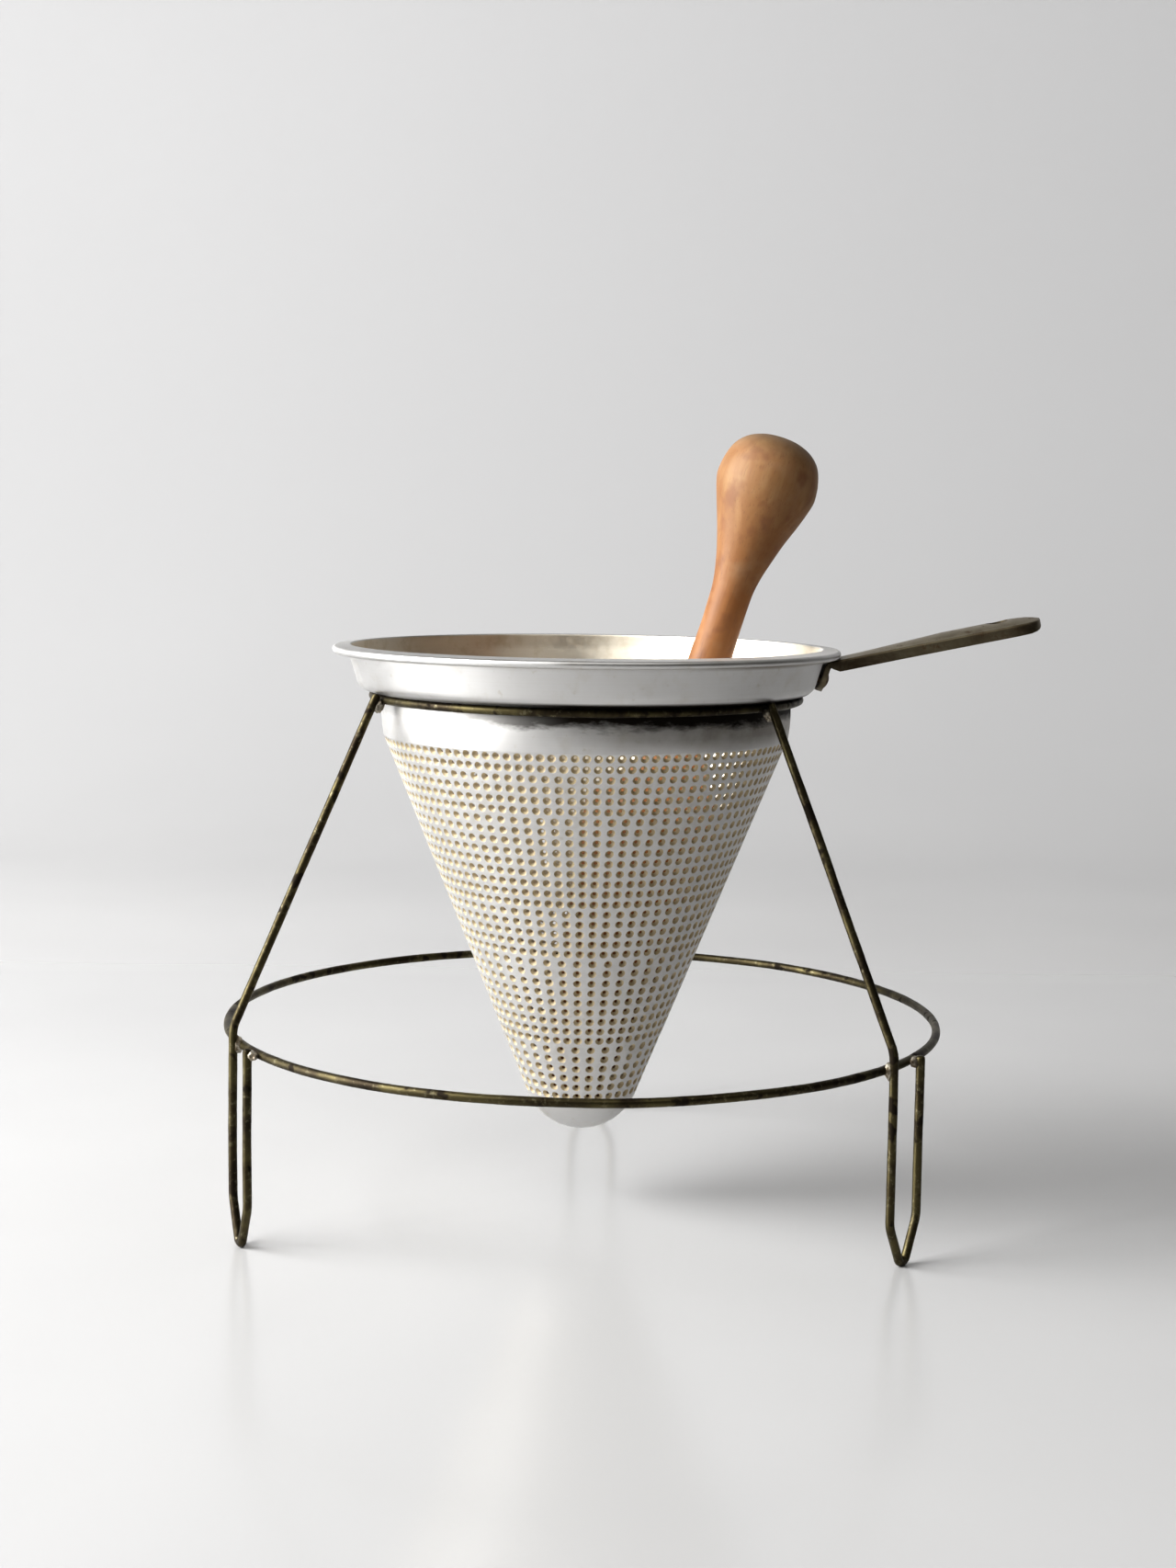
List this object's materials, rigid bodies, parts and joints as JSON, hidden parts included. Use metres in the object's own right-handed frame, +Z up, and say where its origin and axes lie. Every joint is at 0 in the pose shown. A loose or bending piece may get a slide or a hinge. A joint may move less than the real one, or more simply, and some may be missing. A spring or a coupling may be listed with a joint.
{
  "type": "potato ricer",
  "caption": "Conical perforated aluminium ricer with a strap handle, hung in a three-legged wire stand, with a turned wooden pestle.",
  "frame": {"origin": "middle of the footprint of the whole, on the table the feet stand on", "axes": "+Z up; +X along the handle, away from the cone; the picture looks along +Y"},
  "size_m": [0.287, 0.2586, 0.2752],
  "materials": {
    "strainer_body": "worn satin spun aluminium, polished on the bowl and collar",
    "handle": "dull pressed steel with worn tinning and brown stains",
    "rivet_near": "dull steel rivet",
    "rivet_far": "dull steel rivet",
    "top_ring": "tinned wire, worn to an olive brown",
    "lower_ring": "tinned wire, worn to an olive brown",
    "leg_left": "tinned wire, worn to an olive brown",
    "leg_right": "tinned wire, worn to an olive brown",
    "leg_back": "tinned wire, worn to an olive brown",
    "pestle": "worn bare turned hardwood, darkened by handling"
  },
  "bodies": {
    "stand": {"top_ring": "top_ring", "lower_ring": "lower_ring", "leg_left": "leg_left", "leg_right": "leg_right", "leg_back": "leg_back"},
    "strainer": {"strainer_body": "strainer_body", "handle": "handle", "rivet_near": "rivet_near", "rivet_far": "rivet_far"},
    "pestle": {"pestle": "pestle"}
  },
  "joints": [
    {"name": "strainer_lift", "type": "slide", "parent": "stand", "child": "strainer", "axis": [0, 0, 1], "range_m": [0, 0.17]},
    {"name": "pestle_roll", "type": "hinge", "parent": "strainer", "child": "pestle", "pos_m": [-0.01638, -0.0022, 0.12], "axis": [0, 0, 1], "continuous": true}
  ]
}
